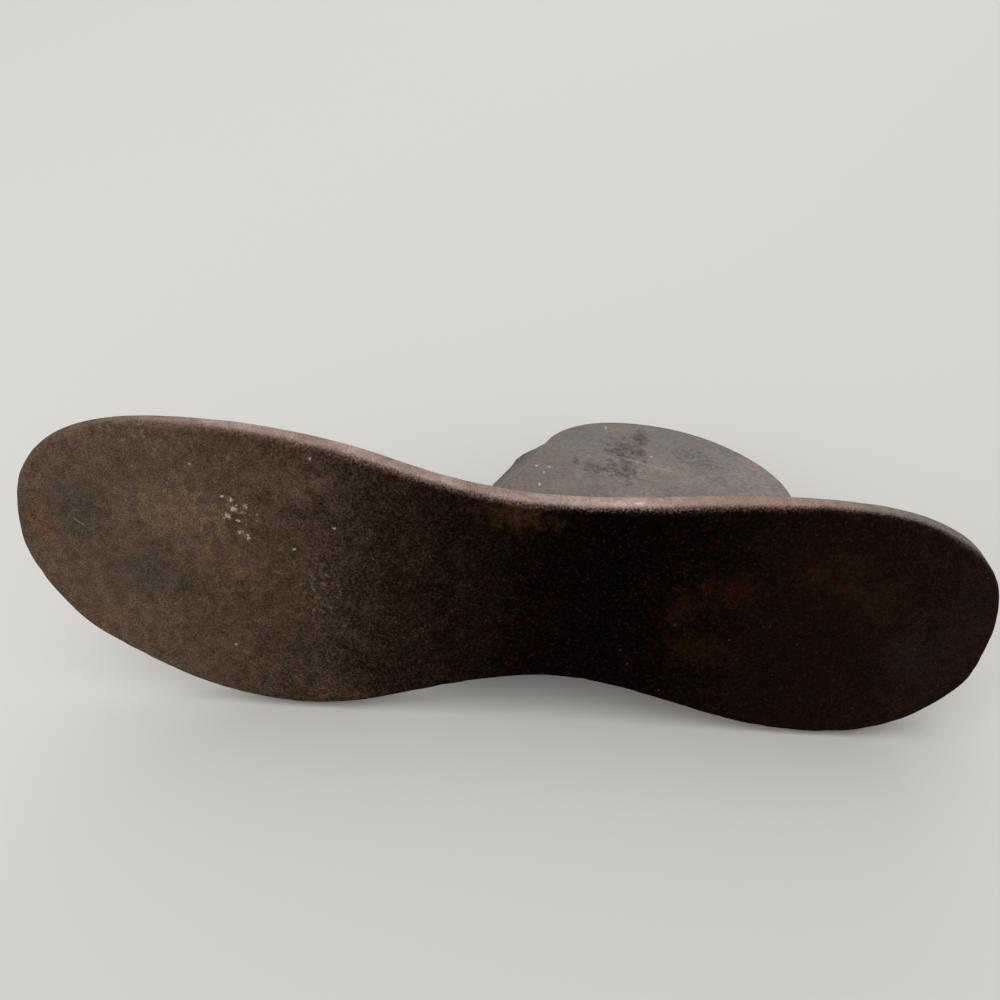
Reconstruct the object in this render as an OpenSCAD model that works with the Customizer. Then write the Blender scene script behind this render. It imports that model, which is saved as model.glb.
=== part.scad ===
// Two-faced cobbler's anvil, resting on its side as it is set down on a bench.
// A foot-shaped sole leans back on its lower long edge, and a leg behind it
// carries a heel-shaped plate that faces up, square to the sole.

/* [Sole] */
// Length of the sole from toe tip to heel end
sole_len = 230; // [210:1:250]
// Thickness of the sole plate behind the waist
sole_t = 7.2; // [6:0.1:9]
// Thickness of the sole plate at the toe
toe_t = 4; // [3:0.1:5]
// Length of the taper, back from the toe tip
taper_len = 88; // [70:1:88]
// Radius of the rounded edges of the sole
sole_edge_r = 2; // [1:0.25:2.5]
// Ball of the foot on the inner (upper) side, from the centre line
ball_inner = 32.5; // [29:0.1:37]
// Ball of the foot on the outer (lower) side, from the centre line
ball_outer = 44.9; // [40:0.1:49]
// Inner ball, back from the toe tip
ball_inner_at = 47.5; // [40:0.5:55]
// Outer ball, back from the toe tip
ball_outer_at = 63; // [56:0.5:70]
// Waist on the inner side, from the centre line
waist_inner = 22.4; // [19:0.1:25]
// Waist on the outer side, from the centre line
waist_outer = 26.2; // [23:0.1:29]
// Inner waist, back from the toe tip
waist_inner_at = 109.5; // [102:0.5:117]
// Outer waist, back from the toe tip
waist_outer_at = 133.5; // [126:0.5:140]
// Heel seat on the inner side, from the centre line
seat_inner = 29.3; // [26:0.1:32]
// Heel seat on the outer side, from the centre line
seat_outer = 34.6; // [31:0.1:37]
// Widest place of the inner heel seat, forward from the heel end
seat_inner_at = 34; // [29:0.5:39]
// Widest place of the outer heel seat, forward from the heel end
seat_outer_at = 41; // [36:0.5:46]
// Toe tip, above the centre line
toe_rise = 0; // [-2:0.1:2]
// Heel end, above the centre line
heel_rise = 0; // [-2:0.1:2]

/* [Heel plate] */
// Thickness of the heel plate
heel_t = 9; // [7:0.5:11]
// Radius of the rounded edges of the heel plate
heel_edge_r = 1.5; // [0.5:0.25:2.5]
// Straight breast of the heel plate, forward of its widest place
heel_front = 35; // [30:0.5:38]
// Rounded back of the heel plate, behind its widest place
heel_back = 38.5; // [34:0.5:42]
// Half width of the heel plate
heel_half_w = 34.8; // [31:0.1:38]
// Depth of the far breast corner
far_corner = 28.5; // [24:0.5:30]
// Depth of the near breast corner
near_corner = 7; // [4:0.5:12]
// Turn of the heel plate, from square to the sole
heel_turn = 20; // [12:1:26]
// Middle of the heel plate, forward from the heel end of the sole
heel_from_end = 76; // [71:0.5:81]
// Gap from the back of the sole to the heel plate
heel_gap = 7; // [5:0.5:10]
// Face of the heel plate, above the centre line of the sole
heel_face = 6; // [4:0.5:9]

/* [Leg] */
// Width of the leg along the sole
leg_w = 46; // [38:1:52]
// Radius of the leg's long lower edges
leg_edge_r = 5; // [2:0.5:6]
// Radius of the corners at the leg's end, seen from above
leg_tip_r = 1; // [0.5:0.5:3]
// Middle of the leg, forward from the heel end of the sole
leg_from_end = 80; // [76:0.5:84]
// Depth of the leg at the sole
leg_root = 17; // [14:0.5:18]
// Depth of the leg at its end
leg_end = 10; // [8:0.5:11]
// Root of the toe gusset, forward of the leg
toe_gusset_w = 38; // [30:1:44]
// Root of the heel gusset, behind the leg
heel_gusset_w = 26; // [20:1:32]
// Depth of both gussets
gusset_t = 9; // [7:0.5:10]
// Width of the breast shoulder at its near end
shoulder_near = 8; // [6:0.5:9]
// Width of the breast shoulder opposite the middle of the heel plate
shoulder_mid = 6.5; // [4:0.5:6.5]
// Width of the breast shoulder at its far end
shoulder_far = 2; // [1:0.5:3]
// Height of the breast shoulder's outer edge above the gusset
shoulder_edge = 3.5; // [2:0.5:4]
// Height of the root fillet on the back of the sole
fillet_h = 12; // [8:0.5:16]
// Depth of the root fillet along the leg
fillet_d = 8; // [5:0.5:10]
// Width of the rest foot along the sole
foot_w = 36; // [28:1:36]
// Length of the rest foot along the leg
foot_l = 12; // [8:0.5:16]

/* [Pose] */
// Backward lean of the sole as the anvil rests
lean = 14; // [12:0.5:15]

/* [Hidden] */

iron = [0.27, 0.21, 0.17];
worn_iron = [0.42, 0.38, 0.35];

arc_steps = 12;
edge_steps = 3;
toe_inner_power = 0.7;
toe_outer_power = 1.09;
heel_end_power = 0.84;
gusset_power = 1.2;
clear = 0.5;

// Curves

// Quarter of a slightly squared ellipse, from angle q0 to q1, about a centre
function quarter(centre, rx, ry, q0, q1, power = 1) =
    [for (k = [0:arc_steps - 1])
        let (q = q0 + (q1 - q0) * k / arc_steps, c = cos(q), s = sin(q))
        centre + [rx * sign(c) * pow(abs(c), power), ry * sign(s) * pow(abs(s), power)]];

// Half wave from one station to the next, level at both
function wave(p, q) =
    [for (k = [0:arc_steps - 1])
        let (t = k / arc_steps)
        [p.x + (q.x - p.x) * t, p.y + (q.y - p.y) * (1 - cos(180 * t)) / 2]];

// Unit outward normals of a closed outline that runs clockwise
function normals(pts) =
    [for (i = [0:len(pts) - 1])
        let (n = len(pts), d = pts[(i + 1) % n] - pts[(i + n - 1) % n])
        [-d.y, d.x] / norm(d)];

// Outline moved inwards along its normals
function inset(pts, d) =
    let (out = normals(pts))
    [for (i = [0:len(pts) - 1]) pts[i] - d * out[i]];

// Insets and heights of the rings of a plate whose two edges are rounded
function plate_rings(t, r) = concat(
    [for (k = [0:edge_steps]) let (q = 90 * k / edge_steps) [r * (1 - sin(q)), r * (1 - cos(q))]],
    [for (k = [0:edge_steps]) let (q = 90 * k / edge_steps) [r * (1 - cos(q)), t - r + r * sin(q)]]);

// Points of such a plate, ring by ring: outline in x and y, height in z
function plate_points(outline, t, r) =
    [for (ring = plate_rings(t, r)) for (p = inset(outline, ring[0])) [p.x, p.y, ring[1]]];

// Sole outline, u along the sole towards the heel and v up the leaning plate

half = sole_len / 2;
ball_in = [-half + ball_inner_at, ball_inner];
ball_out = [-half + ball_outer_at, -ball_outer];
waist_in = [-half + waist_inner_at, waist_inner];
waist_out = [-half + waist_outer_at, -waist_outer];
seat_in = [half - seat_inner_at, seat_inner];
seat_out = [half - seat_outer_at, -seat_outer];

// Rounded end from a station to the toe tip or the heel end
function rounded_end(station, end, q0, q1, power) =
    quarter([station.x, end.y], abs(end.x - station.x), abs(station.y - end.y), q0, q1, power);

toe_tip = [-half, toe_rise];
heel_end = [half, heel_rise];

sole_outline = concat(
    rounded_end(ball_in, toe_tip, 180, 90, toe_inner_power),
    wave(ball_in, waist_in),
    wave(waist_in, seat_in),
    rounded_end(seat_in, heel_end, 90, 0, heel_end_power),
    rounded_end(seat_out, heel_end, 0, -90, heel_end_power),
    wave(seat_out, waist_out),
    wave(waist_out, ball_out),
    rounded_end(ball_out, toe_tip, 270, 180, toe_outer_power));

// Share of the full thickness at u: drawn down towards the toe by a half wave
function fullness(u) =
    let (t = min((u + half) / taper_len, 1))
    (toe_t + (sole_t - toe_t) * (1 - cos(180 * t)) / 2) / sole_t;

// Heel plate outline about its widest place, before it is turned

breast_far = heel_half_w - far_corner;
breast_near = near_corner - heel_half_w;
heel_outline = concat(
    [[-heel_front, breast_near]],
    quarter([0, breast_far], heel_front, far_corner, 180, 90),
    quarter([0, 0], heel_back, heel_half_w, 90, 0),
    quarter([0, 0], heel_back, heel_half_w, 0, -90),
    quarter([0, breast_near], heel_front, near_corner, 270, 180));

// Turned outline in plan, u along the sole and w back from its face
function turned(p) =
    [p.x * cos(heel_turn) + p.y * sin(heel_turn), p.y * cos(heel_turn) - p.x * sin(heel_turn)];
heel_plan = [for (p = heel_outline) turned(p)];
heel_w = sole_t + heel_gap - min([for (p = heel_plan) p.y]);
leg_tip = heel_w + max([for (p = heel_plan) p.y]) - heel_edge_r;
heel_under = heel_face - heel_t;
heel_at = half - heel_from_end;

// Leg

leg_at = half - leg_from_end;
leg_toe_side = leg_at - leg_w / 2;
leg_heel_side = leg_at + leg_w / 2;
root_under = heel_under - leg_root;
end_under = heel_under - leg_end;

// Resting place: the sole frame (u, w, v) tipped level, then leant back

tip = atan((ball_outer - seat_outer) / (seat_out.x - ball_out.x));
function placed(p) =
    let (v = p.z * cos(tip) - p.x * sin(tip))
    [p.x * cos(tip) + p.z * sin(tip), p.y * cos(lean) + v * sin(lean), v * cos(lean) - p.y * sin(lean)];

sole_points = [for (p = plate_points(sole_outline, sole_t, sole_edge_r))
    [p.x, (sole_t - p.z) * fullness(p.x), p.y]];
heel_points = [for (p = plate_points(heel_outline, heel_t, heel_edge_r))
    let (q = turned(p)) [heel_at + q.x, heel_w + q.y, heel_under + p.z]];
resting = [for (p = concat(sole_points, heel_points)) placed(p)];
floor_z = min([for (p = resting) p.z]);
middle_x = (min([for (p = resting) p.x]) + max([for (p = resting) p.x])) / 2;
middle_y = (min([for (p = resting) p.y]) + max([for (p = resting) p.y])) / 2;

module set_down() {
    translate([-middle_x, -middle_y, -floor_z]) rotate([-lean, 0, 0]) rotate([0, tip, 0]) children();
}

// Triangles that close a ring of n points, zigzag from its first point to its far side
function rung(k, n) = k % 2 == 1 ? (k + 1) / 2 : (n - k / 2) % n;
function zigzag(n) =
    [for (k = [0:n - 3])
        let (a = rung(k, n), b = rung(k + 1, n), c = rung(k + 2, n))
        k % 2 == 0 ? [a, b, c] : [a, c, b]];

// Solid through rings of n points each, closed at both ends.
// The points run clockwise as seen from the last ring's side.
module loft(points, n) {
    rings = len(points) / n;
    ends = zigzag(n);
    sides = [for (k = [0:rings - 2]) for (i = [0:n - 1])
        let (j = (i + 1) % n)
        [k * n + i, k * n + j, (k + 1) * n + j, (k + 1) * n + i]];
    first = [for (t = ends) [t[0], t[2], t[1]]];
    last = [for (t = ends) [for (i = t) (rings - 1) * n + i]];
    polyhedron(points, concat(first, last, sides), convexity = 6);
}

// Profile in w and v, carried along u from u0 to u1
module along_sole(u0, u1) {
    translate([u0, 0, 0]) rotate([90, 0, 90]) linear_extrude(u1 - u0) children();
}

// Plan in u and w, carried up from v0 to v1
module upwards(v0, v1) {
    translate([0, 0, v0]) linear_extrude(v1 - v0) children();
}

// Sub-parts

module sole_plate() color(iron) set_down() loft(sole_points, len(sole_outline));

module heel_plate() color(worn_iron) set_down() loft(heel_points, len(heel_outline));

// Bar with a level top, a rising underside, rounded lower edges and a rounded tip
module leg() {
    function under(w) = root_under + (end_under - root_under) * (w - sole_t) / (leg_tip - sole_t);
    function corner(side, half_w, base) =
        [for (k = [0:edge_steps])
            let (q = 90 * k / edge_steps)
            [side * (half_w - leg_edge_r * (1 - sin(q))), base + leg_edge_r * (1 - cos(q))]];
    function section(w, half_w) =
        let (right = corner(1, half_w, under(w)), left = corner(-1, half_w, under(w)),
             top = [[half_w, heel_under], [-half_w, heel_under]])
        [for (p = concat(right, top, [for (k = [edge_steps:-1:0]) left[k]]))
            [leg_at + p.x, w, p.y]];
    stations = concat([[sole_t, leg_w / 2]],
        [for (k = [0:arc_steps / 2])
            let (q = 180 * k / arc_steps)
            [leg_tip - leg_tip_r * (1 - sin(q)), leg_w / 2 - leg_tip_r * (1 - cos(q))]]);
    color(iron) set_down()
        loft([for (s = stations) each section(s[0], s[1])], 2 * edge_steps + 4);
}

// Web beside the leg: full width at the sole, drawn in to nothing where the leg's tip rounds off
module gusset(side, width) {
    curve = [for (k = [0:arc_steps])
        let (t = k / arc_steps)
        [width * (1 - pow(t, gusset_power)), sole_t + (leg_tip - leg_tip_r - sole_t) * t]];
    translate([leg_at + side * leg_w / 2, 0, 0])
        upwards(heel_under - gusset_t, heel_under)
            polygon(concat([[0, sole_t]], [for (p = curve) [side * p.x, p.y]]));
}

module toe_gusset() color(iron) set_down() gusset(-1, toe_gusset_w);

module heel_gusset() color(iron) set_down() gusset(1, heel_gusset_w);

// Shoulder on the toe gusset, sloping away from the breast of the heel plate, low and narrow at its far end
module breast_shoulder() {
    top = heel_face - heel_edge_r;
    low = heel_under + shoulder_edge;
    function section(along, width, edge) =
        let (out = -heel_front - width)
        [for (p = [[-heel_front, heel_under], [-heel_front, top], [out, edge], [out, heel_under]])
            let (q = turned([p.x, along])) [heel_at + q.x, heel_w + q.y, p.y]];
    color(worn_iron) set_down()
        loft(concat(section(breast_near, shoulder_near, low), section(0, shoulder_mid, low),
                    section(breast_far, shoulder_far, top - heel_edge_r)), 4);
}

// Hollow fillet on top of the leg's root
module root_fillet() {
    d = min(fillet_d, heel_gap - clear);
    hollow = [for (k = [0:arc_steps])
        let (q = 90 * k / arc_steps)
        [sole_t + d * (1 - cos(q)), heel_under + fillet_h * (1 - sin(q))]];
    color(iron) set_down()
        along_sole(leg_toe_side - toe_gusset_w, leg_heel_side + heel_gusset_w)
            polygon(concat([[sole_t, heel_under]], hollow));
}

// Pad under the leg's tip, cut level with the surface that the anvil rests on
module rest_foot() {
    slope = (end_under - root_under) / (leg_tip - sole_t);
    color(iron) difference() {
        set_down()
            along_sole(leg_at - foot_w / 2, leg_at + foot_w / 2)
                polygon([[leg_tip, end_under], [leg_tip - foot_l, end_under - slope * foot_l],
                         [leg_tip - foot_l, -sole_len], [leg_tip, -sole_len]]);
        translate([-sole_len, -sole_len, -2 * sole_len]) cube(2 * sole_len);
    }
}

sole_plate();
heel_plate();
leg();
toe_gusset();
heel_gusset();
breast_shoulder();
root_fillet();
rest_foot();
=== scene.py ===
"""Looks of a two-faced cobbler's anvil: a rusted casting with a worn heel face, on a plain pale floor."""

import itertools
import math

import bmesh
import bpy
import numpy as np
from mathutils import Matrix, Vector


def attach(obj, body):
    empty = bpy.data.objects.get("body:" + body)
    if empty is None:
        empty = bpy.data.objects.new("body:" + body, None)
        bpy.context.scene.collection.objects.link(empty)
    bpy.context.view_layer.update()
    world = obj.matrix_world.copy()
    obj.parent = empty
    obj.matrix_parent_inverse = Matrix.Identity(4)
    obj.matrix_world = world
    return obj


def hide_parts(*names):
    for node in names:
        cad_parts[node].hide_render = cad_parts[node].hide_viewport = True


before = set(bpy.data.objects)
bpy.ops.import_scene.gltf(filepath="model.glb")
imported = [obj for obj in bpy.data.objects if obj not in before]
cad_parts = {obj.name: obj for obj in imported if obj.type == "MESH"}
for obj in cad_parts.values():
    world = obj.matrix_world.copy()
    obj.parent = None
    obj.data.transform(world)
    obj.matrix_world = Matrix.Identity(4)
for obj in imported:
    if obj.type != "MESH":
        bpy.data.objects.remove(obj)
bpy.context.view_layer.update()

MM = 0.001

# Sole, in mm: u along the sole from its middle towards the heel, v up the plate, w back from its face
TOE = (-115.0, 0.0)
HEEL = (115.0, 0.0)
SOLE_T = 7.2
TOE_T = 4.0
TAPER = 88.0
SOLE_RIM_R = 1.5
SOLE_RIM_WEAR = 0.5
SOLE_BACK_R = 2.0
INNER_EDGE = {"ball": (-67.0, 33.3), "waist": (4.0, 23.3), "seat": (74.5, 30.3),
              "toe_power": 0.7, "heel_power": 0.78}
OUTER_EDGE = {"ball": (-52.0, -44.9), "waist": (18.5, -26.2), "seat": (74.0, -34.6),
              "toe_power": 1.09, "heel_power": 0.84}

# Places where the sole's outline stands proud of those edges: middle, radius and height in mm
SWELLS = (
    ((-36.0, 29.0), 14.0, 0.5),
    ((114.5, 1.5), 5.5, 0.65),
    ((113.5, -11.0), 8.0, 1.15),
    ((-102.0, -24.0), 9.0, 0.75),
)

# Waver of the sole's outline as a share of its size, pits in its face and nicks in its rim
SOLE_WAVER = 0.0006
PITS = 170
NICKS = 60

# Heel plate, in mm, about its widest place before it is turned
HEEL_T = 9.0
HEEL_FRONT = 35.0
HEEL_BACK = 38.5
HEEL_HALF_W = 34.8
HEEL_RIM_R = 1.2
HEEL_RIM_WEAR = 0.3
HEEL_BACK_R = 1.5
BREAST_FAR = 6.3
BREAST_NEAR = -27.8
HEEL_TURN = math.radians(20)
HEEL_AT = 39.0
HEEL_W = 49.4512
HEEL_FACE = 6.0
HEEL_UNDER = HEEL_FACE - HEEL_T

# Leg and its webs, in mm, with how far they are let into the sole and the heel plate
LEG_AT = 35.0
LEG_HALF_W = 23.0
LEG_TIP = 83.1948
LEG_TIP_R = 2.5
LEG_ROOT = 17.0
LEG_END = 10.0
WEB_T = 9.0
WEB_EDGE_R = 2.4
WEB_SQUARING = 0.6
WEB_STOP = 1.0
TOE_WEB = 38.0
HEEL_WEB = 26.0
WEB_POWER = 1.2
INTO_SOLE = 1.0
INTO_HEEL = 0.3

# Where the leg's underside falls back to the webs', as shares of the leg's half width
LEG_SIDE = (0.78, 1.28)

# Lump on the edge of the toe web, in mm
LUMP_AT = 62.5
LUMP_R = 3.0
LUMP_H = 0.9

# Shoulder beside the breast, in mm: its width and the height of its outer edge at places along the breast
WIDE_AT = (-30, -26, -22, -12, -5, -1.4, 1, 2.8, 4.5, 6.2, 12)
WIDE = (3.0, 5.2, 6.5, 6.4, 6.3, 6.5, 5.6, 4.2, 3.0, 2.2, -1.4)
EDGE_AT = (-30, -26, -22, -3, 0, 3, 12)
EDGE = (-1.0, 0.0, 0.5, 0.6, 1.2, 2.4, 4.6)
SHOULDER_CREST = HEEL_FACE - 0.7
SHOULDER_INSET = 1.0
SHOULDER_LIP = 0.6
SHOULDER_DROP = 1.0
SHOULDER_INTO_HEEL = 1.2
SHOULDER_INTO_WEB = 0.8
SHOULDER_COVER = 2.0

# Root fillet, in mm: its full depth and height, those left at its ends, and the length over which it fades
FILLET_DEPTH = 6.0
FILLET_HEIGHT = 13.4
FILLET_END_DEPTH = 0.5
FILLET_END_HEIGHT = 0.6
FILLET_FADE = 9.0
FILLET_INTO_SOLE = 0.35

# Rest foot, in mm, its flare and rounding as shares of its size, and the powers that square it
FOOT_HALF_W = 17.0
FOOT_HALF_D = 5.0
FOOT_FROM_TIP = 6.9
FOOT_INTO_LEG = 1.5
FOOT_FLARE = 0.22
FOOT_ROUNDING = 0.06
FOOT_SQUARING_U = 0.45
FOOT_SQUARING_W = 0.6

# Resting place of the casting: tipped level on its lower edge, leant back, then moved
LEAN = math.radians(14)
LEVEL = np.subtract(OUTER_EDGE["seat"], OUTER_EDGE["ball"])
TIP = math.atan2(LEVEL[1], LEVEL[0])
SHIFT = np.array([0.0939515, 36.56, -40.914])

# How finely the grids are cut, how their rings draw in, and the random relief's lattice and cells in mm
OUTLINE_STEPS = 420
ROUND_STEPS = 8
SPINE_SHARE = 0.7
CAP_SHARES = (0.9, 0.6, 0.3, 0.0)
LATTICE = 24
BROAD_CELL = 40
MIDDLE_CELL = 8
FINE_CELL = 2.2


# Shapes


def set_down(points):
    """Casting points (u, w, v) in mm as row-frame metres: turned about w by the tip and about u by the
    lean, then shifted."""
    u, w, v = points[..., 0], points[..., 1], points[..., 2]
    tipped = v * math.cos(TIP) - u * math.sin(TIP)
    x = u * math.cos(TIP) + v * math.sin(TIP)
    y = w * math.cos(LEAN) + tipped * math.sin(LEAN)
    z = tipped * math.cos(LEAN) - w * math.sin(LEAN)
    return (np.stack([x, y, z], -1) - SHIFT) * MM


def smooth(low, high, x):
    """0 below low, 1 above high, and 3t^2 - 2t^3 between."""
    t = np.clip((x - low) / (high - low), 0, 1)
    return t * t * (3 - 2 * t)


def squared(wave, power):
    """Sine or cosine raised to a power with its sign kept, which squares a circle."""
    return np.sign(wave) * np.abs(wave) ** power


def relief(points, cell, seed):
    """Smooth random height from -1 to 1: a lattice of random values one cell apart, blended by smooth
    steps."""
    values = np.random.default_rng(seed).uniform(-1, 1, (LATTICE, LATTICE, LATTICE))
    scaled = points / cell
    corner = np.floor(scaled).astype(int)
    step = smooth(0, 1, scaled - corner)
    total = np.zeros(points.shape[:-1])
    for side in itertools.product((0, 1), repeat=3):
        pick = (corner + side) % LATTICE
        weight = np.prod(np.where(side, step, 1 - step), axis=-1)
        total += weight * values[pick[..., 0], pick[..., 1], pick[..., 2]]
    return total


def mounds(points, centres, radii, heights):
    """Sum of round mounds, each its height times exp of minus the squared distance over the squared
    radius."""
    total = np.zeros(points.shape[:-1])
    for centre, radius, height in zip(centres, radii, heights):
        total += height * np.exp(-np.sum((points - centre) ** 2, axis=-1) / radius**2)
    return total


def foot_edge(u, ball, waist, seat, toe_power, heel_power):
    """Height of one long edge at u: a squared quarter ellipse at each end, and half waves from ball to
    waist to seat."""

    def quarter(station, end, power):
        reach = np.clip(np.abs((u - station[0]) / (end[0] - station[0])), 0, 1)
        return end[1] + (station[1] - end[1]) * (1 - reach ** (2 / power)) ** (power / 2)

    def wave(p, q):
        t = np.clip((u - p[0]) / (q[0] - p[0]), 0, 1)
        return p[1] + (q[1] - p[1]) * (1 - np.cos(np.pi * t)) / 2

    return np.select(
        [u < ball[0], u < waist[0], u < seat[0]],
        [quarter(ball, TOE, toe_power), wave(ball, waist), wave(waist, seat)],
        quarter(seat, HEEL, heel_power),
    )


def sole_outline(n):
    """Outline and spine: stations spaced as a cosine, out along the inner edge and back along the outer
    one. The spine is the middle of both edges at a fixed share of each station."""
    u = TOE[0] * np.cos(np.pi * np.arange(n + 1) / n)
    inner = np.stack([u, foot_edge(u, **INNER_EDGE)], -1)
    outer = np.stack([u, foot_edge(u, **OUTER_EDGE)], -1)
    outline = np.concatenate([inner, outer[-2:0:-1]])
    along = SPINE_SHARE * outline[:, 0]
    middle = (foot_edge(along, **INNER_EDGE) + foot_edge(along, **OUTER_EDGE)) / 2
    return outline, np.stack([along, middle], -1)


def heel_outline(n):
    """Outline about the widest place: straight breast, two quarter ellipses behind it and a half ellipse
    at the back, resampled to n points that are evenly far apart."""
    q = np.radians(np.linspace(0, 90, 60))
    far = np.stack([-HEEL_FRONT * np.cos(q), BREAST_FAR + (HEEL_HALF_W - BREAST_FAR) * np.sin(q)], -1)
    turn = np.radians(np.linspace(90, -90, 120))
    back = np.stack([HEEL_BACK * np.cos(turn), HEEL_HALF_W * np.sin(turn)], -1)
    near = np.stack([-HEEL_FRONT * np.sin(q), BREAST_NEAR - (HEEL_HALF_W + BREAST_NEAR) * np.cos(q)], -1)
    whole = np.concatenate([far, back[1:], near[1:], far[:1]])
    length = np.concatenate([[0], np.cumsum(np.linalg.norm(np.diff(whole, axis=0), axis=1))])
    place = np.linspace(0, length[-1], n, endpoint=False)
    return np.stack([np.interp(place, length, whole[:, 0]), np.interp(place, length, whole[:, 1])], -1)


def flat_ring(outline):
    """Outline points with a depth of 0, as places for the random relief."""
    return np.concatenate([outline, np.zeros((len(outline), 1))], -1)


def sideways(outline):
    """Outward unit directions of a closed outline in its plane: the step between its neighbours, turned a
    quarter."""
    ahead = np.roll(outline, -1, 0) - np.roll(outline, 1, 0)
    return np.stack([-ahead[:, 1], ahead[:, 0]], -1) / np.linalg.norm(ahead, axis=1)[:, None]


def plate_shell(outline, spine, thickness, face_r, back_r, face_rows, back_rows):
    """Closed plate in its own plane. Rings run from the spine across the face to a quarter-round rim, down
    the side, round the back rim and home to the spine. Gives points (x, y, depth) and outward directions."""
    side = sideways(outline)
    q = np.radians(np.linspace(0, 90, ROUND_STEPS))[:, None]
    flat = np.linspace(0, 1, face_rows, endpoint=False)[:, None]
    wall = np.linspace(0, 1, 5)[1:-1, None]
    under = np.linspace(1, 0, back_rows + 1)[1:, None]
    around = np.ones(len(outline))
    one = np.ones_like

    share = np.concatenate([flat * around, one(q) * around, one(wall) * around, one(q) * around,
                            under * around])
    inset = np.concatenate([one(flat) * face_r, (1 - np.sin(q)) * face_r, 0 * wall * around,
                            (1 - np.cos(q)) * back_r, one(under) * back_r])
    depth = np.concatenate([0 * flat * around, (1 - np.cos(q)) * face_r,
                            face_r + wall * (thickness - back_r - face_r),
                            thickness - back_r + np.sin(q) * back_r, one(under) * thickness * around])
    out = np.concatenate([0 * flat, np.sin(q), one(wall), np.cos(q), 0 * under])[:, 0]
    down = np.concatenate([-one(flat), -np.cos(q), 0 * wall, np.sin(q), one(under)])[:, 0]

    edge = outline - side * inset[..., None]
    plane = spine + share[..., None] * (edge - spine)
    points = np.concatenate([plane, depth[..., None]], -1)
    downwards = np.broadcast_to(down[:, None, None], depth.shape + (1,))
    return points, np.concatenate([out[:, None, None] * side, downwards], -1)


def facing_of(grid):
    """Outward unit directions of a grid whose columns run round it: the cross product of its two
    differences."""
    along = np.gradient(grid, axis=0)
    around = np.roll(grid, -1, 1) - np.roll(grid, 1, 1)
    cross = np.cross(around, along)
    size = np.linalg.norm(cross, axis=-1, keepdims=True)
    return cross / np.maximum(size, 1e-9)


def capped(grid):
    """Grid with both ends closed: its first and last rings repeated, drawn in to their middles by fixed
    shares."""
    first, last = grid[:1], grid[-1:]
    pull = np.array(CAP_SHARES)[:, None, None]
    head = first.mean(1, keepdims=True) + pull[::-1] * (first - first.mean(1, keepdims=True))
    tail = last.mean(1, keepdims=True) + pull * (last - last.mean(1, keepdims=True))
    return np.concatenate([head, grid, tail])


def rough_cast(points, facing, broad, middle, fine, seed):
    """Points moved outwards by three sizes of random relief with those heights in mm."""
    height = broad * relief(points, BROAD_CELL, seed)
    height = height + middle * relief(points, MIDDLE_CELL, seed + 1)
    height = height + fine * relief(points, FINE_CELL, seed + 2)
    return points + facing * height[..., None]


def skin(name, points, nodes, material):
    """Closed mesh from casting points in rings: quads between neighbours, doubles merged, smooth, placed in
    the row frame with nothing below the floor."""
    rows, columns = points.shape[:2]
    index = np.arange(rows * columns).reshape(rows, columns)
    right = np.roll(index, -1, 1)
    quads = np.stack([index[:-1], right[:-1], right[1:], index[1:]], -1).reshape(-1, 4)
    mesh = bpy.data.meshes.new(name)
    placed = set_down(points)
    placed[..., 2] = np.maximum(placed[..., 2], 0)
    mesh.from_pydata(placed.reshape(-1, 3), [], quads.tolist())
    shell = bmesh.new()
    shell.from_mesh(mesh)
    bmesh.ops.remove_doubles(shell, verts=shell.verts, dist=1e-6)
    bmesh.ops.dissolve_degenerate(shell, edges=shell.edges, dist=1e-7)
    bmesh.ops.recalc_face_normals(shell, faces=shell.faces)
    shell.to_mesh(mesh)
    shell.free()
    mesh.shade_smooth()
    mesh.materials.append(material)
    piece = bpy.data.objects.new(name, mesh)
    bpy.context.scene.collection.objects.link(piece)
    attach(piece, "root")
    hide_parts(*nodes)
    return piece


def make_sole(material):
    """Sole: a plate shell on the foot outline, drawn thin to the toe by a half wave, with a worn rim of
    varying radius, pits on its face and nicks on its rim."""
    outline, spine = sole_outline(OUTLINE_STEPS)
    ring = flat_ring(outline)
    outline = outline * (1 + SOLE_WAVER * relief(ring, cell=14, seed=3)[:, None])
    outline = outline + sideways(outline) * mounds(outline, *zip(*SWELLS))[:, None]
    face_r = SOLE_RIM_R + SOLE_RIM_WEAR * relief(ring, cell=18, seed=4)
    back_r = SOLE_BACK_R + 0 * face_r
    points, facing = plate_shell(outline, spine, SOLE_T, face_r, back_r, face_rows=48, back_rows=20)
    points = points[..., [0, 2, 1]]
    facing = facing[..., [0, 2, 1]]
    drawn = (1 - np.cos(np.pi * np.clip((points[..., 0] - TOE[0]) / TAPER, 0, 1))) / 2
    points[..., 1] *= (TOE_T + (SOLE_T - TOE_T) * drawn) / SOLE_T
    points = rough_cast(points, facing, broad=0.15, middle=0.06, fine=0.04, seed=11)
    rng = np.random.default_rng(21)
    pits = np.stack([rng.uniform(-110, 110, PITS), rng.uniform(-0.4, 0.4, PITS), rng.uniform(-40, 34, PITS)],
                    -1)
    sunk = mounds(points, pits, rng.uniform(0.7, 2.2, PITS), rng.uniform(0.05, 0.22, PITS))
    chips = outline[rng.integers(0, len(outline), NICKS)]
    nicks = np.stack([chips[:, 0], rng.uniform(0, 1.5, NICKS), chips[:, 1]], -1)
    sunk += mounds(points, nicks, rng.uniform(0.6, 1.6, NICKS), rng.uniform(0.03, 0.14, NICKS))
    return skin("sole", points - facing * sunk[..., None], ["sole_plate"], material)


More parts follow.
